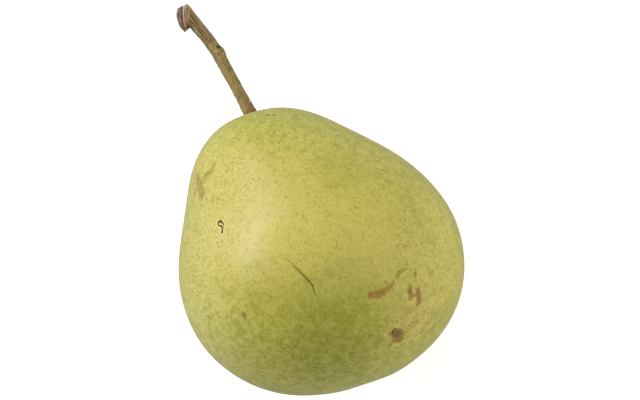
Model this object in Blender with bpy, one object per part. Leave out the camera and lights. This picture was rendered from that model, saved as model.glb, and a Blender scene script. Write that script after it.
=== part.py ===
"""A fresh pear lying on its side: the fruit, its stem, and the dried calyx in the basin at its other end.

Units are metres and +Z is up. Z = 0 is the surface that the pear rests on, and the origin is the middle
of the small flat spot that it rests on. The calyx end points along +X and the stem along -X.

The fruit is first shaped in its own body frame, centred in the belly: X runs from the stem to the calyx,
Y to the side, and Z up. It is then pitched, so that the stem end lifts a little, and let down onto its
flat spot.
"""

import math

import bmesh
import bpy
import numpy as np
from mathutils import Matrix, Vector

MM = 0.001

# Fruit. Its outline, seen from above, is given by the skin's distance from the body's centre, in mm, at even
# steps of angle from the calyx pole to the stem pole: once along the +Y side with both poles, and once along
# the -Y side between the poles.
RADII_PLUS_Y = (36.4, 37.3, 38.5, 39.1, 38.6, 37.4, 35.7, 34.8, 35.8, 39.8, 43.5)
RADII_MINUS_Y = (36.5, 37.8, 38.9, 39.4, 39.1, 38.3, 38.0, 41.1, 44.4)
FULLER_UNDERNEATH = 2.5 * MM  # on the lower side the neck is fuller and the calyx end leaner by up to this
PITCH = math.radians(7)  # the stem end lifts by this angle
FLAT_DEPTH = 0.8 * MM  # how much the belly is pressed flat where it rests
SEGMENTS = 64
RINGS = 44

# Calyx basin: the hollow with the old flower in it. A place on the skin is given by how far it lies
# (sideways, upwards) from the pole, in degrees.
BASIN_TOWARDS = (-8, -15)
BASIN_DEPTH = 4.5 * MM
BASIN_WIDTH = math.radians(10.5)
LOBE_HEIGHT = 0.2 * MM  # the faint swellings round the basin
LOBE_COUNT = 5
LOBE_ANGLE = math.radians(15)

# Stem cavity: the shallow dip that the stem grows out of.
CAVITY_TOWARDS = (-3.5, -3)
CAVITY_DEPTH = 2 * MM
CAVITY_WIDTH = math.radians(6.5)

# Stem: places along its middle in the body frame, each (distance past the body's centre, sideways, up) and
# the thickness there, in mm. The first place is just clear of the bottom of the stem cavity.
STEM_PATH = (
    ((42.5, -2.0, -2.3), 3.7),
    ((44.2, -2.1, -2.3), 3.7),
    ((48.5, -2.5, -2.6), 3.1),
    ((54.0, -3.1, -2.8), 2.9),
    ((59.5, -3.6, -2.9), 3.0),
    ((62.0, -3.8, -2.8), 3.6),
    ((65.0, -4.6, -2.7), 3.3),
    ((68.5, -5.6, -2.5), 3.5),
    ((71.9, -6.8, -2.2), 4.2),
    ((73.8, -8.4, -1.8), 5.8),
    ((74.3, -10.4, -1.5), 6.0),
)

# Sepals: five dried blades standing round the tuft, and leaning outwards.
SEPAL_COUNT = 5
SEPAL_LENGTH = 4.2 * MM
SEPAL_WIDTH = 2.0 * MM
SEPAL_THICKNESS = 0.6 * MM
SEPAL_RING = 2.0 * MM  # distance of a sepal's foot from the middle of the basin
SEPAL_LEAN = math.radians(24)
SEPAL_CURL = 1.1 * MM  # how far a tip bends back outwards
SEPAL_LIFT = 0.45 * MM  # a sepal's foot is raised by this much, so that its outer edge clears the basin

# Tuft of dried stamens.
TUFT_WIDTH = 2.2 * MM
TUFT_HEIGHT = 2.6 * MM
TUFT_RIBS = 7
TUFT_LIFT = 0.45 * MM  # as for the sepals: the basin's floor curves up under the tuft's edge

SKIN_GREEN = (0.49, 0.46, 0.085)
STEM_BROWN = (0.19, 0.135, 0.05)
SEPAL_BROWN = (0.075, 0.05, 0.03)
TUFT_BROWN = (0.05, 0.033, 0.02)


def clear_scene():
    for obj in list(bpy.data.objects):
        bpy.data.objects.remove(obj, do_unlink=True)


def make_material(name, colour, roughness):
    material = bpy.data.materials.new(name)
    material.use_nodes = True
    shader = material.node_tree.nodes["Principled BSDF"]
    shader.inputs["Base Color"].default_value = (*colour, 1)
    shader.inputs["Roughness"].default_value = roughness
    shader.inputs["Metallic"].default_value = 0
    material.diffuse_color = (*colour, 1)
    return material


def add_mesh_object(name, shape, collection, material):
    """Turns a bmesh into an object of this collection, shaded smooth."""
    mesh = bpy.data.meshes.new(name)
    shape.to_mesh(mesh)
    shape.free()
    mesh.shade_smooth()
    mesh.materials.append(material)
    obj = bpy.data.objects.new(name, mesh)
    collection.objects.link(obj)
    return obj


def direction_from_pole(towards, end):
    """The unit direction leaning from a pole: end is 1 for the calyx and -1 for the stem."""
    sideways, upwards = (math.tan(math.radians(angle)) for angle in towards)
    return np.array(Vector((end, sideways, upwards)).normalized())


def angles_from(directions, centre):
    return np.arccos(np.clip(directions @ centre, -1, 1))


def outline_radius(angle):
    """The smooth closed curve through the outline's radii, as the sum of cosines and sines that passes
    through all of them. The angle is 0 at the calyx pole and grows towards +Y."""
    stations = np.array(RADII_PLUS_Y + RADII_MINUS_Y[::-1]) * MM
    count = len(stations)
    waves = np.fft.rfft(stations) / count
    total = np.full(angle.shape, waves[0].real)
    for order, wave in enumerate(waves[1:], 1):
        share = 1 if 2 * order == count else 2
        total += share * (wave.real * np.cos(order * angle) - wave.imag * np.sin(order * angle))
    return total


def skin_radius(directions):
    """Distance from the body's centre to the skin, for an array of unit directions in the body frame."""
    from_calyx = angles_from(directions, np.array((1, 0, 0)))
    around = np.arctan2(directions[:, 1], directions[:, 2])  # 0 on top, a right angle at +Y
    plus_y = (1 + np.sin(around)) / 2
    radius = plus_y * outline_radius(from_calyx) + (1 - plus_y) * outline_radius(-from_calyx)

    below = np.clip(-np.cos(around), 0, 1) * np.sin(from_calyx)
    radius -= FULLER_UNDERNEATH * below**2 * directions[:, 0]

    basin = direction_from_pole(BASIN_TOWARDS, 1)
    from_basin = angles_from(directions, basin)
    radius -= BASIN_DEPTH * np.exp(-((from_basin / BASIN_WIDTH) ** 2))
    across = np.cross(basin, (0, 0, 1))
    turn = np.arctan2(directions @ np.cross(basin, across), directions @ across)
    ring = (from_basin / LOBE_ANGLE) ** 2
    radius += LOBE_HEIGHT * np.cos(LOBE_COUNT * turn) * ring * np.exp(1 - ring)

    from_cavity = angles_from(directions, direction_from_pole(CAVITY_TOWARDS, -1))
    radius -= CAVITY_DEPTH * np.exp(-((from_cavity / CAVITY_WIDTH) ** 2))
    return radius


def point_over_skin(direction, lift=0.0):
    return Vector(direction * (skin_radius(direction[None])[0] + lift))


def make_fruit(collection):
    """A sphere whose points are moved out or in to the skin, then pitched and pressed flat where it rests.
    Returns the fruit, and the matrix that takes the body frame to the pear's own frame."""
    shape = bmesh.new()
    bmesh.ops.create_uvsphere(shape, u_segments=SEGMENTS, v_segments=RINGS, radius=1)
    bmesh.ops.rotate(shape, verts=shape.verts, matrix=Matrix.Rotation(math.radians(90), 3, "Y"))
    directions = np.array([vert.co.normalized() for vert in shape.verts])
    for vert, direction, radius in zip(shape.verts, directions, skin_radius(directions)):
        vert.co = Vector(direction * radius)

    pitch = Matrix.Rotation(PITCH, 4, "Y")
    bmesh.ops.transform(shape, matrix=pitch, verts=shape.verts)
    rest_height = min(vert.co.z for vert in shape.verts) + FLAT_DEPTH
    cut = bmesh.ops.bisect_plane(
        shape,
        geom=shape.verts[:] + shape.edges[:] + shape.faces[:],
        dist=1e-6,
        plane_co=(0, 0, rest_height),
        plane_no=(0, 0, -1),
        clear_outer=True,
    )
    rim = [item for item in cut["geom_cut"] if isinstance(item, bmesh.types.BMEdge)]
    bmesh.ops.holes_fill(shape, edges=rim)
    rim_points = [vert.co.copy() for vert in {vert for edge in rim for vert in edge.verts}]
    middle = sum(rim_points, Vector()) / len(rim_points)
    to_ground = Matrix.Translation((-middle.x, -middle.y, -rest_height))
    bmesh.ops.transform(shape, matrix=to_ground, verts=shape.verts)
    for vert in shape.verts:
        if abs(vert.co.z) < 1e-6:
            vert.co.z = 0
    bmesh.ops.recalc_face_normals(shape, faces=shape.faces)
    fruit = add_mesh_object("fruit", shape, collection, make_material("pear_skin", SKIN_GREEN, 0.45))
    fruit.data.set_sharp_from_angle(angle=math.radians(40))
    return fruit, to_ground @ pitch


def make_stem(collection, body_to_pear):
    """A round bar along the stem's path, thicker at its foot, at the node and at its flared end."""
    curve = bpy.data.curves.new("stem", "CURVE")
    curve.dimensions = "3D"
    curve.bevel_depth = 0.5 * MM
    curve.bevel_resolution = 3
    curve.resolution_u = 5
    curve.use_fill_caps = True
    spline = curve.splines.new("BEZIER")
    spline.bezier_points.add(len(STEM_PATH) - 1)
    for point, ((out, side, up), thickness) in zip(spline.bezier_points, STEM_PATH):
        point.co = body_to_pear @ Vector((-out * MM, side * MM, up * MM))
        point.radius = thickness
        point.handle_left_type = "AUTO"
        point.handle_right_type = "AUTO"
    curve.materials.append(make_material("stem_wood", STEM_BROWN, 0.6))
    stem = bpy.data.objects.new("stem", curve)
    collection.objects.link(stem)
    return stem


def basin_frame():
    """The matrix in the body frame with its origin on the basin's floor and +Z pointing out of the basin."""
    outward = direction_from_pole(BASIN_TOWARDS, 1)
    turn = Vector((0, 0, 1)).rotation_difference(Vector(outward)).to_matrix().to_4x4()
    return Matrix.Translation(point_over_skin(outward)) @ turn


def make_sepal(number, collection, material, body_to_pear):
    """A sphere drawn out into a thin blade, broad at its foot and pointed at its tip, and bent back."""
    shape = bmesh.new()
    bmesh.ops.create_uvsphere(shape, u_segments=16, v_segments=12, radius=0.5)
    for vert in shape.verts:
        along = vert.co.z + 0.5  # 0 at the foot, 1 at the tip
        breadth = SEPAL_WIDTH * (1.25 - 0.75 * along)
        vert.co.x = vert.co.x * SEPAL_THICKNESS + SEPAL_CURL * along**3
        vert.co.y *= breadth
        vert.co.z = SEPAL_LENGTH * along
    basin = basin_frame()
    turn = Matrix.Rotation(math.tau * number / SEPAL_COUNT, 4, "Z")
    over_foot = (basin @ turn @ Vector((SEPAL_RING, 0, 0))).normalized()
    foot = Matrix.Translation(point_over_skin(np.array(over_foot), SEPAL_LIFT))
    upright = basin.to_3x3().to_4x4() @ turn @ Matrix.Rotation(SEPAL_LEAN, 4, "Y")
    bmesh.ops.transform(shape, matrix=body_to_pear @ foot @ upright, verts=shape.verts)
    return add_mesh_object(f"sepal_{number + 1}", shape, collection, material)


def make_tuft(collection, body_to_pear):
    """A ribbed cone of dried stamens that stands on the basin's floor."""
    shape = bmesh.new()
    bmesh.ops.create_uvsphere(shape, u_segments=28, v_segments=12, radius=0.5)
    for vert in shape.verts:
        along = vert.co.z + 0.5
        turn = math.atan2(vert.co.y, vert.co.x)
        spread = TUFT_WIDTH * (1 + 0.12 * math.cos(TUFT_RIBS * turn)) * (1.1 - 0.5 * along)
        vert.co.x *= spread
        vert.co.y *= spread
        vert.co.z = TUFT_HEIGHT * along
    place = body_to_pear @ basin_frame() @ Matrix.Translation((0, 0, TUFT_LIFT))
    bmesh.ops.transform(shape, matrix=place, verts=shape.verts)
    return add_mesh_object("calyx_tuft", shape, collection, make_material("dried_tuft", TUFT_BROWN, 0.85))


def build_pear():
    clear_scene()
    pear = bpy.data.collections.new("pear")
    bpy.context.scene.collection.children.link(pear)
    fruit, body_to_pear = make_fruit(pear)
    make_stem(pear, body_to_pear)
    dried = make_material("dried_sepal", SEPAL_BROWN, 0.8)
    for number in range(SEPAL_COUNT):
        make_sepal(number, pear, dried, body_to_pear)
    make_tuft(pear, body_to_pear)


build_pear()
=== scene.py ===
import math

import bpy
import numpy as np
from mathutils import Matrix, Vector


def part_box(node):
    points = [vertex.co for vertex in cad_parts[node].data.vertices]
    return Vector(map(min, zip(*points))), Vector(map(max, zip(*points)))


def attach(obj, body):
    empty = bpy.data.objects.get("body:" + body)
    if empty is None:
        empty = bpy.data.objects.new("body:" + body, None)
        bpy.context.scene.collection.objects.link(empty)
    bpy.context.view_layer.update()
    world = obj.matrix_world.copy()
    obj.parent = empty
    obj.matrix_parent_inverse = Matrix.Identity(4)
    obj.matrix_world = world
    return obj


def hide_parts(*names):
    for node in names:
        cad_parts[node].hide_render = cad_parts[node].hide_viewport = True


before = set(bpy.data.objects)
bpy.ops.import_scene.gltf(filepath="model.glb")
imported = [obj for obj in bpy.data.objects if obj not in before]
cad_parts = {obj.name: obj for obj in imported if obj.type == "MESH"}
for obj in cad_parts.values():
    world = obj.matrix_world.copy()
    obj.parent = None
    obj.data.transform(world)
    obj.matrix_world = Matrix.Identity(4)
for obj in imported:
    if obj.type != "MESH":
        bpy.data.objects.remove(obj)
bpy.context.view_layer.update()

# A fresh pear lying on its side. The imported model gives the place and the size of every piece. Here each
# piece gets its fine surface and its finish. Lengths are in metres, and those of the body frame are in mm
# from the belly's centre: x from the stem to the calyx, y to the side, z up, before the fruit is pitched.
mm = 0.001
scene = bpy.context.scene


def linear(red, green, blue):
    # A colour as seen on a screen, 0 to 255, made into the linear values that shaders take.
    seen = np.array((red, green, blue)) / 255
    return (*np.where(seen < 0.04045, seen / 12.92, ((seen + 0.055) / 1.055) ** 2.4), 1.0)


class Wire:
    # One output socket of a node tree. Arithmetic on wires adds Math nodes to the tree.
    def __init__(self, tree, socket=None):
        self.tree = tree
        self.socket = socket

    def node(self, kind, settings=None, inputs=None, output=0):
        # Any node: its settings come first, then a value or a wire for each socket.
        made = self.tree.nodes.new(kind)
        for name, value in (settings or {}).items():
            if name == "stops":
                setStops(made.color_ramp, value)
            else:
                setattr(made, name, value)
        for key, value in (inputs or {}).items():
            if isinstance(value, Wire):
                self.tree.links.new(value.socket, made.inputs[key])
            else:
                made.inputs[key].default_value = value
        return Wire(self.tree, made.outputs[output])

    def math(self, operation, *others):
        return self.node("ShaderNodeMath", {"operation": operation}, dict(enumerate((self, *others))))

    def vector(self, operation, other, output=0):
        socket = "Scale" if operation == "SCALE" else 1
        return self.node("ShaderNodeVectorMath", {"operation": operation}, {0: self, socket: other}, output)

    def dot(self, way):
        return self.vector("DOT_PRODUCT", way, "Value")

    def distance(self, point):
        return self.vector("DISTANCE", point, "Value")

    def stretched(self, rates):
        # This place with each of its three parts made longer or shorter.
        return self.vector("MULTIPLY", rates)

    def times(self, vector):
        # A vector of three numbers made longer or shorter by this wire.
        return self.node("ShaderNodeVectorMath", {"operation": "SCALE"}, {0: vector, "Scale": self})

    def part(self, axis):
        # One of a vector's three parts.
        return self.node("ShaderNodeSeparateXYZ", None, {0: self}, axis)

    def __add__(self, other):
        return self.math("ADD", other)

    def __sub__(self, other):
        return self.math("SUBTRACT", other)

    def __rsub__(self, other):
        return self.node("ShaderNodeMath", {"operation": "SUBTRACT"}, {0: other, 1: self})

    def __mul__(self, other):
        return self.math("MULTIPLY", other)

    __radd__ = __add__
    __rmul__ = __mul__

    def clamped(self):
        return self.node("ShaderNodeClamp", None, {0: self})

    def over(self, low, high):
        # 0 at low, 1 at high and smooth between them. With low above high it falls instead of rising.
        settings = {"interpolation_type": "SMOOTHSTEP", "clamp": False}
        return self.node("ShaderNodeMapRange", settings, {0: self, 1: low, 2: high, 3: 0.0, 4: 1.0})

    def between(self, first, second):
        # The first colour where this wire is 0, the second where it is 1.
        return self.node("ShaderNodeMix", {"data_type": "RGBA"}, {0: self, 6: first, 7: second}, output=2)

    def blended(self, other, factor):
        # This colour with another laid over it, as thickly as the factor wire says.
        return factor.between(self, other)


def setStops(ramp, stops):
    # A ramp starts with two stops, so the others are added before all are placed.
    while len(ramp.elements) < len(stops):
        ramp.elements.new(0.5)
    for element, (place, colour) in zip(ramp.elements, stops):
        element.position = place
        element.color = colour


def noise(place, size, detail=2.0, roughness=0.5, distortion=0.0):
    # Soft cloudy noise, 0 to 1, whose lumps are about size mm apart.
    inputs = {"Vector": place, "Scale": 1 / size, "Detail": detail, "Roughness": roughness,
              "Distortion": distortion}
    return place.node("ShaderNodeTexNoise", None, inputs)


def cells(place, size, output="Distance"):
    # Scattered points about size mm apart: how far the nearest is, in parts of size, or its random colour.
    return place.node("ShaderNodeTexVoronoi", None, {"Vector": place, "Scale": 1 / size}, output)


def startMaterial(name, constants):
    # A material with one Principled shader, and the wire of the object's own coordinates in mm.
    material = bpy.data.materials.new(name)
    material.use_nodes = True
    tree = material.node_tree
    shader = tree.nodes["Principled BSDF"]
    for key, value in constants.items():
        shader.inputs[key].default_value = value
    place = Wire(tree).node("ShaderNodeTexCoord", output="Object").vector("SCALE", 1 / mm)
    return material, shader, place


def tintsOf(piece):
    # A piece's colours as shaders take them.
    return {name: linear(*seen) for name, seen in piece["colours"].items()}


def plug(wire, shader, socket):
    # A wire linked to one of the shader's sockets.
    wire.tree.links.new(wire.socket, shader.inputs[socket])


def bumped(height, depth):
    # A normal from a height wire: depth is how far, in mm, a height of 1 stands out.
    return height.node("ShaderNodeBump", None, {"Strength": 1.0, "Distance": depth * mm, "Height": height})


def spread(*parts):
    # Three arrays, each a row, a column or a whole grid, as one grid of places.
    return np.stack(np.broadcast_arrays(*parts), axis=-1)


def bell(distance, width):
    # 1 in the middle, and the exponential of minus the square of distance over width further out.
    return np.exp(-((distance / width) ** 2))


def rising(distance, length):
    # From 0 to 1 past a place: 1 over 1 plus the exponential of minus distance over length.
    return 1 / (1 + np.exp(-distance / length))


def fullTurn(count):
    # Even angles once around, as a row.
    return np.linspace(0, math.tau, count, endpoint=False)[None, :]


def withMiddles(grid):
    # A grid's points in one list, with the middles of its first and last rows at the end.
    return np.concatenate((grid.reshape(-1, 3), grid[0].mean(0)[None], grid[-1].mean(0)[None]))


def signedVolume(points, triangles):
    # Six times the volume inside, less than 0 where the faces point inwards: the sum, over the triangles, of
    # the first corner dotted with the cross product of the other two.
    first, second, third = (points[triangles[:, corner]] for corner in range(3))
    return np.einsum("ij,ij->", first, np.cross(second, third))


def addSurface(name, grids, material, attribute=None):
    # Closed surfaces joined in one object. Each grid is rows by columns by 3: a row runs once around and
    # closes on itself, and the first and last rows are closed with a fan to their middles. Faces are turned
    # outwards. An attribute is its name and one grid of its values for each surface.
    points, faces, values, base = [], [], [], 0
    for index, grid in enumerate(grids):
        rows, columns = grid.shape[:2]
        ring = np.arange(rows * columns).reshape(rows, columns)
        after = np.roll(ring, -1, axis=1)
        sides = np.stack((ring[:-1], after[:-1], after[1:], ring[1:]), axis=-1).reshape(-1, 4)
        start, end = rows * columns, rows * columns + 1
        fans = np.concatenate((
            np.stack((after[0], ring[0], np.full(columns, start)), axis=-1),
            np.stack((ring[-1], after[-1], np.full(columns, end)), axis=-1),
        ))
        flat = withMiddles(grid)
        triangles = np.concatenate((sides[:, :3], sides[:, [0, 2, 3]], fans))
        if signedVolume(flat - flat.mean(0), triangles) < 0:
            sides, fans = sides[:, ::-1], fans[:, ::-1]
        points.append(flat)
        faces.append((sides + base, fans + base))
        if attribute:
            values.append(withMiddles(attribute[1][index]))
        base += len(flat)
    points = np.concatenate(points)
    quads = np.concatenate([pair[0] for pair in faces])
    fans = np.concatenate([pair[1] for pair in faces])
    mesh = bpy.data.meshes.new(name)
    mesh.vertices.add(len(points))
    mesh.vertices.foreach_set("co", points.astype(np.float32).ravel())
    mesh.loops.add(quads.size + fans.size)
    mesh.loops.foreach_set("vertex_index", np.concatenate((quads.ravel(), fans.ravel())).astype(np.int32))
    mesh.polygons.add(len(quads) + len(fans))
    starts = np.concatenate((np.arange(len(quads)) * 4, quads.size + np.arange(len(fans)) * 3))
    mesh.polygons.foreach_set("loop_start", starts.astype(np.int32))
    mesh.update(calc_edges=True)
    mesh.validate()
    mesh.shade_smooth()
    if attribute:
        layer = mesh.attributes.new(attribute[0], "FLOAT_VECTOR", "POINT")
        layer.data.foreach_set("vector", np.concatenate(values).astype(np.float32).ravel())
    mesh.materials.append(material)
    piece = bpy.data.objects.new(name, mesh)
    scene.collection.objects.link(piece)
    return piece


def smoothThrough(stations, count):
    # The curve that passes smoothly through rows of numbers: between two rows it is the cubic whose slope at
    # each row is half the step from the row before it to the row after it.
    rows = np.array(stations, float)
    padded = np.concatenate((2 * rows[:1] - rows[1:2], rows, 2 * rows[-1:] - rows[-2:-1]))
    place = np.linspace(0, len(rows) - 1, count)
    index = np.minimum(place.astype(int), len(rows) - 2)
    part = (place - index)[:, None]
    before, here, there, beyond = (padded[index + shift] for shift in range(4))
    slope, nextSlope = (there - before) / 2, (beyond - here) / 2
    rise = there - here
    square = 3 * rise - 2 * slope - nextSlope
    cube = slope + nextSlope - 2 * rise
    return here + part * (slope + part * (square + part * cube))


# The fruit's shape, in mm and degrees, the same as the solid's. Its outline from above is given by distances
# from the belly's centre at even steps of angle, from the calyx pole to the stem pole.
fruit = {
    "plusSide": (36.4, 37.3, 38.5, 39.1, 38.6, 37.4, 35.7, 34.8, 35.8, 39.8, 43.5),
    "minusSide": (36.5, 37.8, 38.9, 39.4, 39.1, 38.3, 38.0, 41.1, 44.4),
    "fullerUnderneath": 2.5,
    "pitch": 7.0,
    "basinTowards": (-8.0, -15.0),  # sideways and upwards from the calyx pole
    "basinDepth": 4.5,
    "basinWidth": 10.5,
    "lobeHeight": 0.2,
    "lobeCount": 5,
    "lobeAngle": 15.0,
    "cavityTowards": (-3.5, -3.0),  # sideways and upwards from the stem pole
    "cavityDepth": 2.0,
    "cavityWidth": 6.5,
    "swell": 0.16,  # height of the skin's slow swells, which only the fine surface has
    "flatRim": 0.06,  # the rim of the flat spot underneath is rounded over this height
    "rows": 292,
    "columns": 336,
    "boxGrid": (180, 240),  # rows and columns that are enough to find the fruit's box
}


def fromPole(towards, end):
    # The unit direction that leans so many degrees sideways and upwards from a pole: it runs along the pole's
    # way and the tangents of both angles. End is 1 at the calyx and -1 at the stem.
    sideways, upwards = (math.tan(math.radians(angle)) for angle in towards)
    return np.array(Vector((end, sideways, upwards)).normalized())


def angleFrom(directions, centre):
    # Degrees between unit directions: the angle whose cosine is their dot product.
    return np.degrees(np.arccos(np.clip(directions @ centre, -1, 1)))


def outlineRadius(angle):
    # The sum of cosines and sines that passes through all the outline's distances.
    stations = np.array(fruit["plusSide"] + fruit["minusSide"][::-1])
    count = len(stations)
    waves = np.fft.rfft(stations) / count
    total = np.full(angle.shape, waves[0].real)
    for order, wave in enumerate(waves[1:], 1):
        share = 1 if 2 * order == count else 2
        total += share * (wave.real * np.cos(order * angle) - wave.imag * np.sin(order * angle))
    return total


def skinRadius(directions):
    # Distance from the belly's centre to the skin, for unit directions in the last axis: the two side
    # outlines blended around the fruit by the sine of the way around, a fuller lower side, a bell off for
    # the calyx basin, a ring of lobes around it as a cosine, and a bell off for the dip at the stem.
    fromCalyx = np.arccos(np.clip(directions[..., 0], -1, 1))
    around = np.arctan2(directions[..., 1], directions[..., 2])
    plus = (1 + np.sin(around)) / 2
    radius = plus * outlineRadius(fromCalyx) + (1 - plus) * outlineRadius(-fromCalyx)
    below = np.clip(-np.cos(around), 0, 1) * np.sin(fromCalyx)
    radius -= fruit["fullerUnderneath"] * below**2 * directions[..., 0]
    basin = fromPole(fruit["basinTowards"], 1)
    fromBasin = angleFrom(directions, basin)
    radius -= fruit["basinDepth"] * bell(fromBasin, fruit["basinWidth"])
    across = np.cross(basin, (0, 0, 1))
    turn = np.arctan2(directions @ np.cross(basin, across), directions @ across)
    ring = (fromBasin / fruit["lobeAngle"]) ** 2
    radius += fruit["lobeHeight"] * np.cos(fruit["lobeCount"] * turn) * ring * np.exp(1 - ring)
    fromCavity = angleFrom(directions, fromPole(fruit["cavityTowards"], -1))
    radius -= fruit["cavityDepth"] * bell(fromCavity, fruit["cavityWidth"])
    return radius


def slowSwells(directions):
    # Slow uneven swells of a grown surface: products of sines of the direction at unlike rates, -1 to 1.
    x, y, z = (directions[..., axis] for axis in range(3))
    first = np.sin(5.1 * x + 1.7 * y + 0.4) * np.sin(4.3 * y - 2.2 * z + 1.1)
    second = np.sin(7.9 * z + 3.1 * x + 2.0) * np.sin(6.7 * x - 5.3 * y + 0.7)
    third = np.sin(13.0 * y + 6.1 * z) * np.sin(11.0 * z - 9.0 * x + 1.9)
    return 0.5 * first + 0.3 * second + 0.2 * third


def fineRadius(directions):
    # The skin's radius with its slow swells added.
    return skinRadius(directions) + fruit["swell"] * slowSwells(directions)


def floorOf(towards, end):
    # The bottom of the basin or of the dip, in the body frame: its direction times the skin's radius there.
    way = fromPole(towards, end)
    return way * skinRadius(way)


def skinDirections(rows, columns):
    # Unit directions on a grid of two angles: from the calyx pole, and around the fruit.
    fromCalyx = np.linspace(0, math.pi, rows + 2)[1:-1, None]
    around = fullTurn(columns)
    sine = np.sin(fromCalyx)
    return spread(np.cos(fromCalyx), sine * np.sin(around), sine * np.cos(around))


pitchTurn = np.array(Matrix.Rotation(math.radians(fruit["pitch"]), 3, "Y"))


def placeOfBody():
    # Where the belly's centre lies: it puts the middle and the top of the skin's box on the solid fruit's.
    directions = skinDirections(*fruit["boxGrid"])
    skin = directions * skinRadius(directions)[..., None] * mm @ pitchTurn.T
    low, high = (np.array(corner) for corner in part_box("fruit"))
    skinLow, skinHigh = skin.min((0, 1)), skin.max((0, 1))
    place = (low + high) / 2 - (skinLow + skinHigh) / 2
    place[2] = high[2] - skinHigh[2]
    return place


bodyPlace = placeOfBody()


def toPear(points):
    # Body places in mm to places in metres in the pear's own frame.
    return np.asarray(points) * mm @ pitchTurn.T + bodyPlace


def makeFruit(material):
    # A grid of two angles. The skin that would reach below the surface it rests on is pressed flat there: a
    # height becomes the mean of itself and the root of its square plus soft squared, less half of soft.
    directions = skinDirections(fruit["rows"], fruit["columns"])
    grid = toPear(directions * fineRadius(directions)[..., None])
    soft = fruit["flatRim"] * mm
    grid[..., 2] = (grid[..., 2] + np.sqrt(grid[..., 2] ** 2 + soft**2)) / 2 - soft / 2
    grid[..., 2] = np.maximum(grid[..., 2], 0)
    return addSurface("pearSkin", [grid], material)


camera = {
    "azimuth": 67.0,  # degrees: the way that the stem points up and to the left
    "elevation": 80.0,
    "lens": 135.0,  # mm
    "sensor": 36,  # mm
    "nearest": 0.01,
    "farthest": 60,
    "distance": 0.648,
    "aimAbove": 15.7 * mm,  # the view's middle lies this far up the view from the belly's centre
}


def makeCamera():
    # The eye stands back from the pear along the line of sight. Right, up and back are the view's own ways.
    azimuth, elevation = math.radians(camera["azimuth"]), math.radians(camera["elevation"])
    back = Vector((
        math.sin(azimuth) * math.cos(elevation),
        -math.cos(azimuth) * math.cos(elevation),
        math.sin(elevation),
    ))
    right = Vector((math.cos(azimuth), math.sin(azimuth), 0))
    up = back.cross(right)
    data = bpy.data.cameras.new("camera")
    data.lens = camera["lens"]
    data.sensor_width = camera["sensor"]
    data.clip_start = camera["nearest"]
    data.clip_end = camera["farthest"]
    place = Vector(bodyPlace) + up * camera["aimAbove"] + back * camera["distance"]
    eye = bpy.data.objects.new("camera", data)
    eye.matrix_world = Matrix.Translation(place) @ Matrix((right, up, back)).transposed().to_4x4()
    scene.collection.objects.link(eye)
    scene.camera = eye
    return right, up, back


studio = {
    "floorColour": (248, 248, 247),
    "floorGlow": 0.45,  # the paper is lit a little from below
    "floorRoughness": 0.8,
    "floorSpeckle": 0.02,  # how much darker the paper's darkest specks are
    "floorHalf": 15.0,
    "floorBelow": 0.05 * mm,  # the gap that keeps the paper clear of the flat spot
    "sky": 0.43,
    # A lamp's height is in degrees from the plane of the view towards the eye, and it comes from that many
    # degrees anticlockwise of the view's right.
    "keyPower": 65,
    "keySize": 2.5,
    "keyFlatness": 0.27,  # its height for its width
    "keyDistance": 2.4,
    "keyHeight": 26,
    "keyFrom": 150,
    "sidePower": 77,
    "sideSize": 3.2,
    "sideFlatness": 1.0,
    "sideDistance": 2.4,
    "sideHeight": 14,
    "sideFrom": 0,
}


def makeLight(name, right, up, back):
    # A soft lamp that faces the belly's centre.
    data = bpy.data.lights.new(name, "AREA")
    data.energy = studio[name + "Power"]
    data.shape = "RECTANGLE"
    data.size = studio[name + "Size"]
    data.size_y = studio[name + "Size"] * studio[name + "Flatness"]
    height, turn = math.radians(studio[name + "Height"]), math.radians(studio[name + "From"])
    towards = math.cos(height) * (math.cos(turn) * right + math.sin(turn) * up) + math.sin(height) * back
    place = Vector(bodyPlace) + towards * studio[name + "Distance"]
    lamp = bpy.data.objects.new(name, data)
    lamp.visible_glossy = name == "key"  # the side lamp lights the skin and leaves no gleam on it
    lamp.matrix_world = Matrix.Translation(place) @ towards.to_track_quat("Z", "Y").to_matrix().to_4x4()
    scene.collection.objects.link(lamp)


def makeStudio(right, up, back):
    # An even sky, the two lamps and a flat sheet of pale paper.
    world = bpy.data.worlds.new("studio")
    world.use_nodes = True
    background = world.node_tree.nodes["Background"]
    background.inputs["Color"].default_value = (1, 1, 1, 1)
    background.inputs["Strength"].default_value = studio["sky"]
    scene.world = world
    scene.view_settings.view_transform = "Standard"
    for name in ("key", "side"):
        makeLight(name, right, up, back)
    material, shader, place = startMaterial("floorPaper", {
        "Roughness": studio["floorRoughness"],
        "Emission Color": (1, 1, 1, 1),
        "Emission Strength": studio["floorGlow"],
    })
    paper = linear(*studio["floorColour"])
    shade = noise(place, 3.0, 3.0) * studio["floorSpeckle"] + (1 - studio["floorSpeckle"])
    plug(shade.times(paper[:3]), shader, "Base Color")
    half, below = studio["floorHalf"], -studio["floorBelow"]
    mesh = bpy.data.meshes.new("floor")
    corners = [(-half, -half, below), (half, -half, below), (half, half, below), (-half, half, below)]
    mesh.from_pydata(corners, [], [(0, 1, 2, 3)])
    mesh.materials.append(material)
    floor = bpy.data.objects.new("floor", mesh)
    floor.visible_glossy = False
    scene.collection.objects.link(floor)


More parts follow.
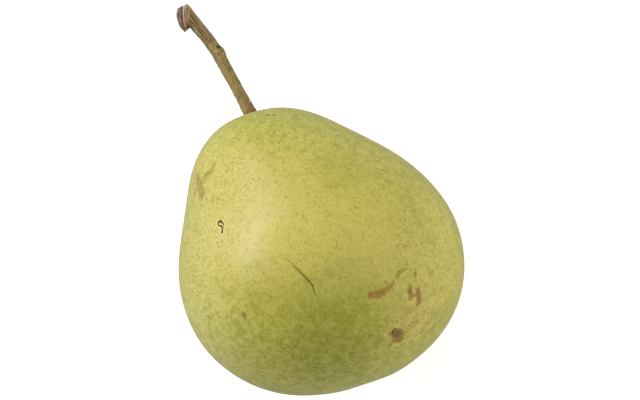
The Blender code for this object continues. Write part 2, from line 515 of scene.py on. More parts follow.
# Marks on the skin. A place is (degrees from the calyx pole, degrees around from the top towards +Y), and
# each stroke runs through such places, with its half width in mm at each.
skinMarks = {
    "wormTrail": [[(118.3, -43.2, 0.14), (119.5, -42.8, 0.3), (119.7, -41.6, 0.34), (118.6, -40.4, 0.22),
                   (117.1, -39.5, 0.1)],
                  [(118.2, -43.0, 0.13), (117.5, -41.4, 0.2), (116.3, -40.4, 0.24), (114.5, -40.8, 0.31)]],
    "rub": [[(144.0, -67.4, 0.5), (142.8, -64.9, 0.8), (140.4, -62.9, 0.9), (137.7, -59.3, 1.2),
             (135.2, -57.6, 1.5)],
            [(145.2, -47.0, 0.5), (142.5, -50.0, 0.7), (142.1, -53.8, 0.8), (139.5, -59.1, 0.6)],
            [(138.5, -64.2, 0.6), (137.3, -66.6, 0.7)]],
    "scratch": [[(94.4, -16.2, 0.05), (91.9, -14.2, 0.08), (91.4, -13.9, 0.07), (89.0, -12.8, 0.1),
                 (85.1, -11.2, 0.1), (82.8, -10.4, 0.1)],
                [(90.4, -14.0, 0.07), (87.1, -12.6, 0.11), (83.9, -11.3, 0.15), (81.8, -10.3, 0.22),
                 (80.6, -10.0, 0.24), (77.6, -10.5, 0.13), (76.0, -10.7, 0.03)]],
    "smear": [[(68.4, 10.0, 0.95), (67.6, 12.8, 1.1), (67.7, 15.2, 1.0), (68.0, 17.6, 0.75),
               (68.5, 19.5, 0.45), (70.0, 21.0, 0.25)], [(69.9, 18.0, 0.25), (71.3, 17.5, 0.2)]],
    "bruise": [[(70.9, 23.0, 0.6), (72.3, 24.5, 0.65), (72.7, 26.4, 0.45), (72.4, 28.5, 0.25)],
               [(70.5, 32.3, 0.4), (68.6, 31.9, 0.45)], [(65.8, 28.4, 0.5), (63.8, 27.6, 0.85)],
               [(42.7, 13.7, 0.35), (44.4, 15.2, 0.35)]],
    "twinPatch": [[(64.0, 27.7, 0.6), (61.8, 27.9, 0.85), (60.6, 27.4, 0.5)],
                  [(61.4, 28.6, 0.4), (61.0, 31.4, 0.5)],
                  [(63.0, 32.0, 0.6), (61.2, 32.2, 0.85), (58.5, 32.3, 0.85), (57.0, 31.6, 0.55)]],
    "scab": [[(49.0, 17.2, 1.1), (47.8, 20.8, 1.0)], [(46.9, 17.8, 1.3), (46.2, 20.6, 1.2)],
             [(44.7, 18.4, 1.15), (43.8, 21.0, 1.0)], [(49.3, 17.0, 0.6), (51.0, 17.1, 0.2)],
             [(49.0, 15.5, 0.7), (49.1, 14.5, 0.35)]],
    "scabPits": [[(49.3, 17.2, 1.0), (47.8, 18.8, 1.1), (46.6, 19.7, 0.85)]],
    "spot": [[(81.2, -40.9, 0.5), (80.4, -41.2, 0.6), (79.6, -41.6, 0.4)]],
    "dimples": [[(162.8, 5.2, 0.34), (162.8, 6.6, 0.42)], [(161.9, 11.8, 0.34), (161.3, 13.0, 0.25)]],
}


def skinPlace(fromCalyx, around):
    # The point on the skin, in mm in the pear's own frame, that lies in a direction given by two angles.
    down, turn = math.radians(fromCalyx), math.radians(around)
    direction = np.array((math.cos(down), math.sin(down) * math.sin(turn), math.sin(down) * math.cos(turn)))
    return tuple(toPear(direction * fineRadius(direction)) / mm)


def strokeGap(place, strokes):
    # How far, in mm, a point lies outside the nearest stroke: less than 0 inside it. Each stretch of a stroke
    # is a bar with round ends, so this is the distance to its middle line less its half width.
    nearest = None
    for stroke in strokes:
        for (*first, firstHalf), (*second, secondHalf) in zip(stroke, stroke[1:]):
            start, end = skinPlace(*first), skinPlace(*second)
            run = np.subtract(end, start)
            offset = place.vector("SUBTRACT", start)
            along = offset.dot(tuple(run / (run @ run))).clamped()
            distance = offset.distance(along.times(tuple(run)))
            gap = distance - (along * (secondHalf - firstHalf) + firstHalf)
            nearest = gap if nearest is None else nearest.math("MINIMUM", gap)
    return nearest


skinFinish = {
    "colours": {
        "yellow": (180, 169, 83),
        "green": (161, 156, 61),
        "deepGreen": (100, 112, 14),
        # painted shade: the darker green that covers the skin towards the underside
        "flank": (127, 125, 50),
        "warm": (184, 158, 92),
        "crownGreen": (152, 164, 76),
        "sageEdge": (154, 155, 94),
        "shadeGreen": (146, 144, 50),
        "sunYellow": (200, 187, 92),
        "paleTan": (198, 180, 122),
        "pale": (206, 197, 124),
        "grain": (94, 88, 0),
        "freckle": (88, 82, 0),
        "rosy": (168, 118, 62),
        "dark": (74, 72, 0),
        "russet": (150, 118, 66),
        "wormBrown": (66, 46, 2),
        "wormHalo": (208, 190, 130),
        "rubBrown": (156, 120, 48),
        "rubDark": (106, 74, 10),
        "scratchOlive": (88, 80, 6),
        "pitOlive": (72, 62, 8),
        "smearBrown": (150, 104, 50),
        "smearOlive": (112, 96, 34),
        "bruiseOlive": (92, 84, 0),
        "patchBrown": (132, 90, 42),
        "scabBrown": (128, 98, 46),
        "scabCore": (54, 36, 10),
    },
    # Ways in the pear's own frame along which its colour changes.
    "yellowWay": (-0.9065, 0.3848, 0.1737),  # towards the yellow shoulder beside the stem
    "crossWay": (0.3907, 0.9205, 0.0),
    # Where the skin's colour drifts: a place from the belly's centre, how far it reaches, its tint and share.
    # The deep green pools are partly the skin's greener colour and partly painted shade, the shade green
    # pools darken the skin as painted shade, and the pale tan pool beside the key lamp's gleam is a painted
    # highlight.
    "pools": (
        ((26.8, -8.5, 23.5), 20.0, "deepGreen", 0.38),
        ((15.2, -2.3, 34.7), 14.0, "deepGreen", 0.16),
        ((25.8, 14.3, 22.2), 14.0, "warm", 0.4),
        ((-15.8, 13.4, 31.9), 13.0, "shadeGreen", 0.4),
        ((-2.9, -7.6, 37.1), 14.0, "sunYellow", 0.28),
        ((-11.4, -19.5, 30.6), 12.0, "paleTan", 0.26),
        ((5.1, 33.0, 20.0), 13.0, "sunYellow", 0.3),
        ((10.6, -32.1, 17.4), 10.0, "shadeGreen", 0.25),
        ((31.1, 4.0, 21.3), 10.0, "shadeGreen", 0.3),
    ),
    # How far apart, in mm, each kind of dot is scattered through the flesh, and how big it is there. About a
    # third of them meet the skin.
    "freckleApart": 1.1,
    "freckleSize": 0.31,
    "fineApart": 0.62,
    "fineSize": 0.15,
    "rosyApart": 1.5,
    "rosySize": 0.26,
    "darkApart": 1.3,
    "darkSize": 0.3,
    "dotShift": (31.0, 17.0, 23.0),  # mm: gives rosy and dark dots a scatter of their own
    "darkAround": (79.5, 36.0),  # the place on the skin where dark dots crowd together
    "tanAround": (163.5, -2.0),  # the middle of the tanned shade beside the dimples
    "relief": 0.05,  # mm
    "shader": {
        "Subsurface Weight": 0.06,
        "Subsurface Scale": 0.0015,
        "Subsurface Radius": (1.0, 0.8, 0.25),
        "Specular IOR Level": 0.25,
    },
}


def markMask(place, name, ragged, edge):
    # 1 inside the strokes of one mark and 0 outside. Its edge wanders by ragged mm and fades over edge mm.
    wander = noise(place, 0.55, 3.0, 0.65) * ragged - ragged / 2
    return (strokeGap(place, skinMarks[name]) + wander).over(edge, -edge)


def scattered(place, name):
    # Dots of one kind. The inner half of each is full, and from there it fades to its rim.
    apart = skinFinish[name + "Apart"]
    size = skinFinish[name + "Size"] / apart
    return cells(place, apart).over(size, size / 2)


def skinBase(place, fromCentre, tint):
    # Yellow beside the stem, green along the lower flank and half green over the far shoulder and the
    # crown, with clouds of either colour. Over that lie a paler side, partly the skin's own colour and partly
    # painted light where the key lamp falls, a greyer sage edge that is partly painted shade, the pools, a
    # fresher crown, and painted shade that darkens the skin towards the underside.
    yellowwards = fromCentre.dot(skinFinish["yellowWay"])
    across = fromCentre.dot(skinFinish["crossWay"])
    height = fromCentre.dot((0, 0, 1))
    clouds = noise(place, 16.0, 2.0) + noise(place, 4.5, 3.0) * 0.5 - 0.75
    flank = (clouds * 16.0 - yellowwards - across.math("ABSOLUTE") * 0.15).over(-5.0, 14.0)
    shoulder = (clouds * 8.0 + across * 0.7 + yellowwards * 0.7).over(14.0, 32.0) * 0.55
    crown = yellowwards.over(25.0, 38.0) * 0.5
    greenness = flank.math("MAXIMUM", shoulder).math("MAXIMUM", crown)
    colour = greenness.between(tint["yellow"], tint["green"])
    # Partly the skin's own paler colour and partly painted light: the side the key lamp faces is made paler,
    # most of all towards the calyx end.
    paleLitSide = across.over(-12.0, -34.0)
    colour = colour.blended(tint["pale"], paleLitSide * (yellowwards.over(2.0, -22.0) * 0.35 + 0.16))
    # Partly the skin's greener colour and partly painted shade: a darker, greyer green along the outer edge
    # of the key lamp's side, towards the stem end.
    sageEdge = across.over(-24.0, -36.0) * yellowwards.over(-18.0, 0.0)
    colour = colour.blended(tint["sageEdge"], sageEdge * 0.35)
    for centre, reach, name, share in skinFinish["pools"]:
        gap = fromCentre.distance(centre) + clouds * 8.0
        colour = colour.blended(tint[name], gap.over(reach, 4.0) * share)
    colour = colour.blended(tint["crownGreen"], crown * 0.7)
    # Painted shade: the skin is darkened more and more below 24 mm above the belly's centre.
    return colour.blended(tint["flank"], height.over(24.0, 0.0) * 0.4), greenness


def skinTexture(place, fromCentre, colour, greenness, tint):
    # Soft blotches, deep and pale, a grit of both, and short curved dashes. Then the dots: freckles and finer
    # ones everywhere, rosy ones on the yellow side and a dark cluster near the calyx.
    height = fromCentre.dot((0, 0, 1))
    strength = 1.25 - height.over(25.0, 34.0) * 0.5  # calmer on top, livelier towards the flanks
    mottle = noise(place, 2.0, 3.0, 0.55, 0.6)
    colour = colour.blended(tint["grain"], mottle.over(0.4, 0.75) * (greenness * 0.15 + 0.13) * strength)
    colour = colour.blended(tint["pale"], mottle.over(0.56, 0.3) * (greenness * 0.11 + 0.02))
    grit = noise(place, 0.7, 2.0, 0.55)
    colour = colour.blended(tint["grain"], grit.over(0.5, 0.72) * (0.23 - greenness * 0.06) * strength)
    colour = colour.blended(tint["pale"], grit.over(0.46, 0.26) * (0.28 - greenness * 0.08) * strength)
    bend = (noise(place, 2.2, 2.0, 0.5, 0.8) - 0.5).math("ABSOLUTE").over(0.045, 0.01)
    dashes = bend * noise(place, 2.6, 2.0).over(0.47, 0.6)
    colour = colour.blended(tint["freckle"], dashes * (greenness * 0.08 + 0.2))
    crowd = noise(place, 6.0, 2.0).over(0.36, 0.62)
    freckles = scattered(place, "freckle") * (crowd * 0.42 + 0.14) * strength
    colour = colour.blended(tint["freckle"], freckles)
    fine = scattered(place, "fine") * mottle.over(0.35, 0.65)
    colour = colour.blended(tint["freckle"], fine * 0.32)
    shifted = place.vector("ADD", skinFinish["dotShift"])
    rosy = scattered(shifted, "rosy") * (1 - greenness) * crowd
    colour = colour.blended(tint["rosy"], rosy * 0.6)
    cluster = place.distance(skinPlace(*skinFinish["darkAround"]))
    dark = scattered(shifted, "dark") * (cluster + mottle * 6.0).over(13.0, 8.0)
    return colour.blended(tint["dark"], dark * 0.6), freckles


def skinWounds(place, colour, tint):
    # Scars and rubs, each in its own colours. With the colour come two more wires that are 0 on whole skin:
    # one for dry crusts and one for cuts, which go deeper.
    grain = noise(place, 1.1, 4.0, 0.65)
    speckle = noise(place, 0.45, 3.0, 0.7).over(0.42, 0.6)
    rub = markMask(place, "rub", 2.2, 0.8)
    scribble = (noise(place, 1.1, 2.0, 0.6, 1.0) - 0.5).math("ABSOLUTE").over(0.09, 0.02)
    colour = colour.blended(tint["rubBrown"], rub * (speckle * 0.36 + 0.2))
    colour = colour.blended(tint["rubDark"], rub * (scribble * 0.5 + speckle * 0.2))
    scratch = markMask(place, "scratch", 0.1, 0.12)
    colour = colour.blended(tint["scratchOlive"], scratch * (grain * 0.8 + 0.5).clamped())
    bruise = markMask(place, "bruise", 0.6, 0.25)
    colour = colour.blended(tint["bruiseOlive"], bruise * (grain * 1.6 - 0.35).clamped())
    smear = markMask(place, "smear", 0.7, 0.42)
    colour = colour.blended(tint["smearBrown"], smear * (grain * 0.5 + 0.45).clamped())
    colour = colour.blended(tint["smearOlive"], smear * grain.over(0.42, 0.66) * 0.6)
    twin = markMask(place, "twinPatch", 0.9, 0.38)
    colour = colour.blended(tint["patchBrown"], twin * (grain * 0.6 + 0.45).clamped())
    colour = colour.blended(tint["smearOlive"], twin * grain.over(0.46, 0.66) * 0.5)
    scab = markMask(place, "scab", 0.4, 0.3)
    colour = colour.blended(tint["scabBrown"], scab * (grain * 0.5 + 0.6).clamped())
    pits = markMask(place, "scabPits", 1.0, 0.5) * noise(place, 0.6, 2.0, 0.7).over(0.4, 0.54)
    colour = colour.blended(tint["scabCore"], pits * 0.62)
    colour = colour.blended(tint["patchBrown"], markMask(place, "spot", 0.3, 0.35) * 0.75)
    tanShade = place.distance(skinPlace(*skinFinish["tanAround"])) + grain * 3.0
    colour = colour.blended(tint["russet"], tanShade.over(6.0, 2.0) * 0.25)
    # Painted shade: the two small dimples beside the stem are filled with dark olive.
    dimples = markMask(place, "dimples", 0.4, 0.25)
    colour = colour.blended(tint["pitOlive"], dimples * 0.85)
    worm = strokeGap(place, skinMarks["wormTrail"])
    colour = colour.blended(tint["wormHalo"], worm.over(0.75, 0.15) * 0.35)
    colour = colour.blended(tint["wormBrown"], (worm + grain * 0.3 - 0.15).over(0.1, -0.08) * 0.95)
    crust = (smear + twin + scab + worm.over(0.3, 0.0)).clamped()
    cuts = worm.over(0.15, -0.2) + dimples * 0.6 + scratch * 0.3
    return colour, crust, cuts


def makeSkin():
    # Crusts and cuts are duller than whole skin. Freckles stand out a little, and crusts and cuts sink in.
    material, shader, place = startMaterial("pearSkin", skinFinish["shader"])
    tint = tintsOf(skinFinish)
    fromCentre = place.vector("SUBTRACT", tuple(bodyPlace / mm))
    colour, greenness = skinBase(place, fromCentre, tint)
    colour, freckles = skinTexture(place, fromCentre, colour, greenness, tint)
    colour, crust, cuts = skinWounds(place, colour, tint)

    # Russet in the calyx basin and where the stem comes out.
    grain = noise(place, 1.2, 4.0, 0.65)
    fromBasin = place.distance(tuple(toPear(floorOf(fruit["basinTowards"], 1)) / mm))
    fromCavity = place.distance(tuple(toPear(floorOf(fruit["cavityTowards"], -1)) / mm))
    colour = colour.blended(tint["russet"], (fromBasin + grain * 7.0).over(10.0, 4.5) * 0.7)
    colour = colour.blended(tint["russet"], (fromCavity + grain * 2.0).over(4.6, 2.6) * 0.6)
    plug(colour, shader, "Base Color")
    plug(crust * 0.25 + cuts * 0.5 + (noise(place, 0.8, 2.0) * 0.1 + 0.32), shader, "Roughness")
    height = freckles * 0.5 + noise(place, 0.45, 2.0) * 0.35 - cuts * 2.0 - crust * 0.8
    plug(bumped(height, skinFinish["relief"]), shader, "Normal")
    return material


stem = {
    # Places along its middle: out from the belly's centre, sideways and up, then the breadth and the depth of
    # the bar there, and the degrees that its section is turned towards the slanting end and that it leans.
    "path": (
        (38.0, -1.9, -2.3, 3.9, 3.8, 4, 0),
        (43.2, -2.05, -2.3, 3.75, 3.7, 5, 0),
        (46.5, -2.3, -2.5, 3.5, 3.4, 6, 0),
        (50.0, -2.6, -2.7, 3.3, 3.15, 7, 0),
        (54.1, -3.0, -2.8, 3.25, 3.0, 8, 0),
        (58.0, -3.45, -2.9, 3.35, 3.1, 9, 0),
        (61.6, -3.85, -2.85, 3.4, 3.2, 12, 0),
        (65.0, -4.45, -2.7, 3.5, 3.3, 15, 0),
        (68.3, -5.3, -2.5, 3.4, 3.4, 18, 0),
        (71.0, -6.2, -2.25, 3.5, 3.7, 29, 3),
        (72.95, -6.7, -2.1, 4.5, 4.0, 55, 6),
        (74.5, -7.25, -1.9, 6.6, 4.3, 72, 9),
        (74.2, -8.65, -1.8, 7.15, 4.6, 71, 10),
    ),
    "skinAt": 43.2,  # how far out the stem leaves the skin: lengths along it are counted from there
    "rows": 250,
    "columns": 96,
    "capRows": 26,
    "ridge": 0.03,
    "knobAt": 25.5,  # mm along: the ridges grow into a knob from here to just before the end
    "knobRise": 1.2,
    "knobGrowth": 2.2,
    "collarLength": 2.2,
    "collarRise": 0.35,
    "nodeAt": 19.3,  # mm along: the swelling where a leaf grew, with its lengths before and after its top
    "nodeHeight": 0.4,
    "nodeBefore": 2.4,
    "nodeAfter": 0.85,
    "nodeTurn": 0.15,  # radians around the stem
    "nodeSpread": 0.8,
    "pitAt": 20.4,
    "pitDepth": 0.45,
    "pitLength": 0.5,
    "pitTurn": 0.85,
    "pitSpread": 0.4,
    "rimRise": 0.14,
    "rimBefore": 0.2,
    "rimLength": 0.3,
    "rimBulge": 0.6,  # how far the slanting end's near and far edges stand out past its two tips
    "bulgeLength": 1.4,
    "dome": 1.68,
    "domeSharpness": 2.4,
    "grooveAt": 0.09,  # in parts of the way from the rim to the middle
    "grooveWidth": 0.05,
    "grooveDepth": 0.5,
    "grainRadius": 1.6,  # the straight bar that the grain is laid on
    "grainCap": 3,  # the length of bar that the end's face takes up
    "fleckApart": 1.15,
    "relief": 0.1,
    "shader": {"Roughness": 0.6},
    "colours": {
        "bark": (130, 108, 58),
        "barkDark": (80, 60, 34),
        "barkPale": (170, 150, 96),
        "greenStreak": (142, 128, 48),
        "reddish": (122, 80, 52),
        "fleck": (205, 184, 136),
        "collar": (142, 115, 84),
        "collarLine": (92, 66, 44),
        "knobBrown": (110, 85, 52),
        "furrowShade": (74, 48, 24),
        "edgeOlive": (104, 96, 50),
        # painted light on one edge of the bar
        "crownLight": (168, 158, 120),
        "scar": (66, 55, 42),
        "scarPale": (146, 126, 102),
        "creviceShade": (74, 46, 32),
        # pale peach: painted highlight along the end's rim line, also used for the pale tip and pale streaks
        # in the collar
        "rim": (196, 164, 136),
        "lip": (134, 78, 48),
        "sore": (92, 26, 14),
    },
}


def turnFrom(theta, angle):
    # How far around each theta is from an angle, the short way.
    return np.angle(np.exp(1j * (theta - angle)))


def stemShape():
    # A bar along a smooth path. Each ring is an ellipse: its long way lies in the plane of the bend and
    # turns with the slanting end, and its short way leans. Ridges are sums of cosines around and along the
    # bar, the leaf node and its pit are bells, and all of them push the bark in or out. What comes back is
    # the bar, the same bar straightened, and how far along its face begins.
    table = smoothThrough(stem["path"], stem["rows"])
    middle = table[:, :3] * (-1, 1, 1)
    step = np.linalg.norm(np.diff(middle, axis=0), axis=1)
    along = np.concatenate(([0], np.cumsum(step)))
    along = along - np.interp(stem["skinAt"], table[:, 0], along)
    turn, lean = np.radians(table[:, 5])[:, None], np.radians(table[:, 6])[:, None]
    zero = np.zeros_like(turn)
    longWay = np.concatenate((-np.sin(turn), np.cos(turn), zero), axis=1)
    outWay = np.concatenate((-np.cos(turn), -np.sin(turn), zero), axis=1)
    shortWay = np.cos(lean) * np.array((0, 0, 1.0)) - np.sin(lean) * outWay
    theta = fullTurn(stem["columns"])
    far = along[:, None]
    pastEnd = far - along[-1]
    knob = rising(far - stem["knobAt"], stem["knobRise"])
    knob = knob * (1 - 0.8 * rising(pastEnd + stem["collarLength"], stem["collarRise"]))
    ribs = np.cos(5 * theta + 0.22 * far + 1) + 0.8 * np.cos(9 * theta - 0.16 * far)
    ribs = ribs + 0.5 * np.cos(15 * theta + 0.3 * far)
    ridges = stem["ridge"] * (1 + stem["knobGrowth"] * knob) * ribs
    ridges = ridges + 0.03 * np.sin(1.3 * far + 2 * np.cos(theta))
    ridges = ridges + 0.02 * np.sin(2.9 * far - 3 * np.sin(theta))
    beyond = far - stem["nodeAt"]
    swell = bell(beyond, np.where(beyond < 0, stem["nodeBefore"], stem["nodeAfter"]))
    node = stem["nodeHeight"] * swell * bell(turnFrom(theta, stem["nodeTurn"]), stem["nodeSpread"])
    pit = stem["pitDepth"] * bell(far - stem["pitAt"], stem["pitLength"])
    pit = pit * bell(turnFrom(theta, stem["pitTurn"]), stem["pitSpread"])
    push = ridges + node - pit + stem["rimRise"] * bell(pastEnd + stem["rimBefore"], stem["rimLength"])
    halfLong, halfShort = table[:, 3:4] / 2 + push, table[:, 4:5] / 2 + push
    shaft = middle[:, None] + (halfLong * np.cos(theta))[..., None] * longWay[:, None]
    shaft = shaft + (halfShort * np.sin(theta))[..., None] * shortWay[:, None]
    normal = np.cross(longWay[-1], shortWay[-1])
    normal *= np.sign(normal @ (middle[-1] - middle[-2]))
    bulge = stem["rimBulge"] * np.sin(theta) ** 2 * bell(pastEnd, stem["bulgeLength"])
    shaft = shaft + bulge[..., None] * normal

    # The slanting end: smaller and smaller copies of the last ring, domed and rough, inside a groove.
    inward = np.linspace(0, 1, stem["capRows"] + 1)[1:-1, None]
    share = 1 - inward
    ringOffset = shaft[-1] - middle[-1]
    rough = 0.05 * np.sin(3 * theta + 9 * share) + 0.08 * np.cos(14 * share * np.sin(theta) + 1)
    groove = stem["grooveDepth"] * bell(inward - stem["grooveAt"], stem["grooveWidth"])
    tilted = 1 + share * (0.5 * np.cos(theta) + 0.2 * np.cos(theta) ** 2)
    rise = stem["dome"] * np.sqrt(1 - share ** stem["domeSharpness"]) * tilted + rough * share - groove
    cap = middle[-1] + share[..., None] * ringOffset[None] + rise[..., None] * normal

    # The same surface as if the stem were a straight bar, for its grain: along, across and up, in mm.
    acrossBar, upBar = stem["grainRadius"] * np.cos(theta), stem["grainRadius"] * np.sin(theta)
    straight = spread(far, acrossBar, upBar)
    capStraight = spread(along[-1] + inward * stem["grainCap"], share * acrossBar, share * upBar)
    return toPear(np.concatenate((shaft, cap))), np.concatenate((straight, capStraight)), along[-1]


def makeBark(scarFrom):
    # Bark with a grain along the stem. scarFrom is how far along, in mm, the slanting end's face begins.
    material, shader, place = startMaterial("stemBark", stem["shader"])
    tint = tintsOf(stem)
    straight = place.node("ShaderNodeAttribute", {"attribute_name": "straightened"}, output="Vector")
    along, across = straight.part(0), straight.part(1)
    grainPlace = straight.stretched((0.16, 1.0, 1.0))
    fibre = noise(grainPlace, 0.34, 4.0, 0.6)
    patch = noise(place, 2.2, 3.0, 0.6)
    dust = noise(place, 0.32, 3.0, 0.7)
    ramp = {"stops": ((0.3, tint["barkDark"]), (0.5, tint["bark"]), (0.7, tint["barkPale"]))}
    tone = fibre * 0.5 + dust * 0.65 + patch * 0.35 - 0.25
    colour = fibre.node("ShaderNodeValToRGB", ramp, {0: tone})
    streak = (across + patch * 0.8).math("ABSOLUTE").over(0.75, 0.1)
    streak = streak * along.over(4.0, 8.0) * along.over(18.5, 13.0)
    colour = colour.blended(tint["greenStreak"], streak * dust)
    shadyEdge = across.over(0.5, 1.3) * along.over(scarFrom - 4.0, scarFrom - 7.0)
    colour = colour.blended(tint["edgeOlive"], shadyEdge * 0.35)
    foot = along.over(5.5, 1.0) * (across + patch * 1.5 - 0.6).over(-0.2, 0.7)
    colour = colour.blended(tint["reddish"], foot * 0.6)

    # Towards the knob the bark is browner, with deep furrows that run into the collar behind the cut end. The
    # furrows and the crease at the collar's edge are darkened as painted shade, and the ridges between the
    # furrows are lightened as painted highlight.
    knob = (along + patch * 3.0).over(scarFrom - 10.5, scarFrom - 5.0)
    colour = colour.blended(tint["knobBrown"], knob * 0.5)
    collar = (along + across * 0.3).over(scarFrom - 1.9, scarFrom - 1.4)
    waves = (across * 3.8 + noise(grainPlace, 1.1, 2.0) * 5.0).math("SINE").math("ABSOLUTE")
    broken = noise(straight.stretched((0.5, 1.0, 1.0)), 0.8, 2.0, 0.6)
    furrows = waves.over(0.65, 0.2) * broken.over(0.36, 0.56) * (1 - collar) * knob * across.over(-1.5, -1.1)
    colour = colour.blended(tint["furrowShade"], furrows * 0.85)
    ridges = waves.over(0.8, 0.97) * broken.over(0.62, 0.44) * knob * (1 - collar)
    colour = colour.blended(tint["barkPale"], ridges * 0.6)
    colour = colour.blended(tint["collar"], collar * (dust * 0.7 + 0.45).clamped())
    collarLine = noise(straight.stretched((1.5, 0.3, 0.3)), 0.7, 3.0, 0.6)
    colour = colour.blended(tint["collarLine"], collar * collarLine.over(0.5, 0.62) * 0.75)
    colour = colour.blended(tint["rim"], collar * collarLine.over(0.46, 0.34) * 0.6)
    crease = (collar * (1 - collar)).over(0.1, 0.22) * broken.over(0.7, 0.5)
    colour = colour.blended(tint["furrowShade"], crease * 0.7)
    leafScar = straight.distance((stem["pitAt"] - 0.5, -0.1, stem["grainRadius"])).over(0.9, 0.5)
    colour = colour.blended(tint["barkPale"], leafScar * dust.over(0.3, 0.6) * 0.6)

    # Pale raised flecks, each with a darker skirt, the pit at the node darkened as painted shade, and a
    # painted contact shadow in a dark line around the foot.
    fleckPlace = straight.stretched((0.55, 1.0, 1.0))
    near = cells(fleckPlace, stem["fleckApart"])
    pick = cells(fleckPlace, stem["fleckApart"], "Color")
    chosen = pick.node("ShaderNodeSeparateColor", None, {0: pick}).over(0.5, 0.56) * (1 - collar)
    colour = colour.blended(tint["reddish"], near.over(0.34, 0.2) * chosen * 0.6)
    flecks = near.over(0.19, 0.11) * chosen
    colour = colour.blended(tint["fleck"], flecks * 0.85)
    pit = straight.distance((stem["pitAt"], 1.05, 1.2)).over(0.85, 0.3)
    colour = colour.blended(tint["creviceShade"], pit * 0.95)
    colour = colour.blended(tint["creviceShade"], along.over(0.8, 0.2) * 0.7)

    # The end: a pale rim line that is a painted highlight, a pale tip in the same colour, a dark crevice of
    # painted shade and the scar inside it, and a red-brown lip at its lower tip.
    scarPlace = straight.stretched((0.7, 0.35, 1.3))
    scarTone = noise(scarPlace, 0.5, 3.0, 0.6).over(0.4, 0.66)
    scarColour = scarTone.between(tint["scar"], tint["scarPale"])
    lower = across.over(-0.9, -1.3)
    wavy = along + (collarLine - 0.5) * 0.5
    rim = wavy.over(scarFrom - 0.12, scarFrom - 0.02) * (1 - lower)
    colour = colour.blended(tint["rim"], rim * (fibre * 0.8 + 0.3).clamped())
    # Painted light: a pale grey along one edge of the bar, before the knob.
    crown = across.over(0.8, 1.35) * along.over(scarFrom - 7.0, scarFrom - 3.0)
    colour = colour.blended(tint["crownLight"], crown * (1 - collar * 0.6) * 0.7)
    lip = lower * along.over(scarFrom - 2.2, scarFrom - 1.2)
    colour = colour.blended(tint["lip"], lip * (patch * 0.8 + 0.2))
    sore = straight.distance((scarFrom - 0.9, -1.3, 0.8)) + dust * 0.3
    colour = colour.blended(tint["sore"], sore.over(0.75, 0.4) * 0.9)
    tip = across.over(-1.3, -1.5) * along.over(scarFrom - 0.6, scarFrom - 0.1)
    colour = colour.blended(tint["rim"], tip * 0.85)
    colour = colour.blended(tint["creviceShade"], along.over(scarFrom + 0.03, scarFrom + 0.08))
    colour = colour.blended(scarColour, (along + patch * 0.2).over(scarFrom + 0.4, scarFrom + 0.55))
    plug(colour, shader, "Base Color")
    plug(bumped(fibre * 0.8 + flecks * 0.8 - furrows * 1.4, stem["relief"]), shader, "Normal")
    return material


calyx = {
    "sepals": 5,
    "length": 4.3,
    "breadth": 2.1,
    "thickness": 0.24,
    "ring": 2.0,  # the sepals stand this far from the basin's axis
    "lean": 18.0,  # degrees outwards at a sepal's foot, and how much more at its tip
    "curl": 62.0,
    "lift": 0.3,  # the gap between a sepal's foot and the skin
    "sepalRows": 60,
    "sepalColumns": 48,
    "stamens": 18,
    "goldenTurn": 0.618,  # the part of a turn from one stamen to the next
    "rootsWithin": 0.85,
    "threadFoot": 0.15,
    "threadLength": 2.6,
    "threadThickness": 0.15,
    "antherThickness": 0.42,
    "antherAt": 0.93,  # in parts of a thread's length
    "antherLength": 0.07,
    "threadRows": 22,
    "threadColumns": 10,
    "cushionRadius": 1.15,
    "cushionFoot": 0.32,
    "cushionHeight": 0.55,
    "cushionRows": 14,
    "cushionColumns": 60,
    "relief": 0.08,
    "shader": {"Roughness": 0.8},
    "colours": {
        "brown": (88, 66, 44),
        "darkBrown": (44, 32, 22),
        "paleEnd": (140, 116, 82),
    },
}


def basinFrame():
    # The turn that takes +Z to the way out of the basin, and the basin's floor, in the body frame.
    outward = fromPole(fruit["basinTowards"], 1)
    turn = np.array(Vector((0, 0, 1)).rotation_difference(Vector(outward)).to_matrix())
    return turn, floorOf(fruit["basinTowards"], 1)


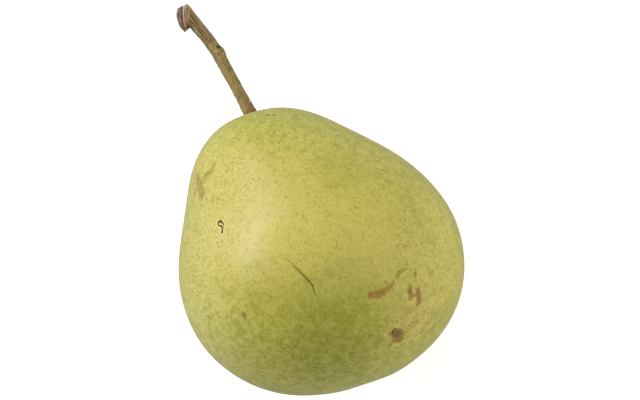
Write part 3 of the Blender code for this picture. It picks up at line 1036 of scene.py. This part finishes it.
def makeSepal(number, rng, material):
    # A thin blade. Its middle line leans out from the basin's axis, more and more towards its tip: it adds
    # up short steps along the sine and the cosine of the lean. Its breadth falls to a point, its edges roll
    # inwards as the square of the place across, and its tip twists. A row runs once around the blade's
    # section.
    turn, floor = basinFrame()
    angle = math.tau * (number / calyx["sepals"]) + rng.uniform(-0.12, 0.12)
    length = calyx["length"] * rng.uniform(0.88, 1.04)
    rows = calyx["sepalRows"]
    u = np.linspace(0, 1, rows)[:, None]
    around = fullTurn(calyx["sepalColumns"])
    lean = np.radians(calyx["lean"] + rng.uniform(-5, 5) + (calyx["curl"] + rng.uniform(-14, 14)) * u**1.7)
    out = np.cumsum(np.sin(lean) * length / rows, axis=0)
    up = np.cumsum(np.cos(lean) * length / rows, axis=0)
    half = calyx["breadth"] / 2 * ((1 - u) ** 0.75 * (1 + 0.35 * np.sin(math.pi * u)) + 0.05)
    v = np.cos(around)
    thick = calyx["thickness"] / 2 * (1 - 0.45 * u) * (0.45 + 0.55 * np.sqrt(np.clip(1 - v**2, 0, 1)))
    roll = 0.42 * half * v**2 * (1 + 0.5 * u)
    wrinkle = 0.07 * np.sin(9 * u + 4 * v + number) + 0.05 * np.sin(17 * u - 6 * v + 2 * number)
    twist = rng.uniform(-0.7, 0.7) * u**1.5
    across = half * v
    face = thick * np.sin(around) - roll + wrinkle * (0.3 + u)
    side = across * np.cos(twist) - face * np.sin(twist)
    facing = across * np.sin(twist) + face * np.cos(twist)
    blade = spread(out + facing * np.cos(lean), side, up - facing * np.sin(lean))
    cosine, sine = math.cos(angle), math.sin(angle)
    spin = np.array(((cosine, -sine, 0), (sine, cosine, 0), (0, 0, 1)))
    footWay = turn @ spin @ np.array((calyx["ring"], 0, 0)) + floor
    footWay /= np.linalg.norm(footWay)
    foot = footWay * (skinRadius(footWay) + calyx["lift"])
    grid = foot + blade @ (turn @ spin).T
    straight = spread(u * length, across, number)
    piece = addSurface(f"driedSepal{number + 1}", [toPear(grid)], material, ("straightened", [straight]))
    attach(piece, "root")
    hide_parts(f"sepal_{number + 1}")


def makeStamens(rng, material):
    # Thin bent threads that spread from the basin's middle, each with a thicker shrivelled end, over a low
    # cushion. A thread bends with the square of the way along it, and its thickness is a slow taper plus a
    # bell near its end. The cushion is a ball pressed flat, and wrinkled with a cosine around it.
    turn, floor = basinFrame()
    u = np.linspace(0, 1, calyx["threadRows"])[:, None]
    around = fullTurn(calyx["threadColumns"])
    grids, straights = [], []
    for number in range(calyx["stamens"]):
        angle = math.tau * number * calyx["goldenTurn"]
        root = calyx["rootsWithin"] * math.sqrt((number + 0.5) / calyx["stamens"])
        reach = calyx["threadLength"] * rng.uniform(0.65, 1.05)
        tilt = rng.uniform(0.05, 0.55) * root
        bend = rng.uniform(-0.9, 0.9, 2)
        outX = math.cos(angle) * (root + reach * tilt * u) + bend[0] * u**2 * 0.6
        outY = math.sin(angle) * (root + reach * tilt * u) + bend[1] * u**2 * 0.6
        outZ = calyx["threadFoot"] + reach * u * (1 - 0.12 * u)
        thread = calyx["threadThickness"] / 2 * (1.3 - 0.5 * u)
        anther = calyx["antherThickness"] / 2 * bell(u - calyx["antherAt"], calyx["antherLength"])
        radius = (thread + anther) * (1 + 0.2 * np.cos(3 * around + number))
        radius = radius * np.sqrt(np.clip((1.002 - u) / 0.05, 0.02, 1))  # the end is rounded off
        grid = spread(outX + radius * np.cos(around), outY + radius * np.sin(around), outZ)
        grids.append(toPear(floor + grid @ turn.T))
        straights.append(spread(u * reach, 0 * around, number))
    height = np.linspace(0, 1, calyx["cushionRows"])[:, None]
    wide = fullTurn(calyx["cushionColumns"])
    swell = calyx["cushionRadius"] * np.sqrt(np.clip(1 - (height - 0.15) ** 2 / 0.75, 0.01, 1))
    swell = swell * (1 + 0.08 * np.cos(11 * wide))
    rise = calyx["cushionFoot"] + calyx["cushionHeight"] * height
    cushion = spread(swell * np.cos(wide), swell * np.sin(wide), rise)
    grids.append(toPear(floor + cushion @ turn.T))
    straights.append(np.zeros_like(cushion))
    piece = addSurface("driedStamens", grids, material, ("straightened", straights))
    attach(piece, "root")
    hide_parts("calyx_tuft")


def makeDried(name, pale):
    # Dead flower tissue: brown with streaks along each blade or thread, and paler towards its end.
    material, shader, place = startMaterial(name, calyx["shader"])
    tint = tintsOf(calyx)
    straight = place.node("ShaderNodeAttribute", {"attribute_name": "straightened"}, output="Vector")
    along = straight.part(0)
    streaks = noise(straight.stretched((0.3, 1.0, 1.0)), 0.22, 3.0, 0.6)
    tone = streaks * 0.8 + noise(place, 0.9, 3.0) * 0.4 - 0.1
    ramp = {"stops": ((0.3, tint["darkBrown"]), (0.7, tint["brown"]))}
    colour = tone.node("ShaderNodeValToRGB", ramp, {0: tone})
    colour = colour.blended(tint["paleEnd"], (along + streaks * 1.5).over(2.2, 4.6) * pale)
    plug(colour, shader, "Base Color")
    plug(bumped(streaks, calyx["relief"]), shader, "Normal")
    return material


print("pear: camera and light")
right, up, back = makeCamera()
makeStudio(right, up, back)

print("pear: skin")
skin = makeFruit(makeSkin())
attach(skin, "root")
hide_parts("fruit")

print("pear: stem")
stemGrid, straightened, scarFrom = stemShape()
bark = addSurface("stemBark", [stemGrid], makeBark(scarFrom), ("straightened", [straightened]))
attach(bark, "root")
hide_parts("stem")

print("pear: calyx")
rng = np.random.default_rng(7)
sepalFinish = makeDried("driedSepal", 0.6)
for number in range(calyx["sepals"]):
    makeSepal(number, rng, sepalFinish)
makeStamens(rng, makeDried("driedStamens", 0.35))
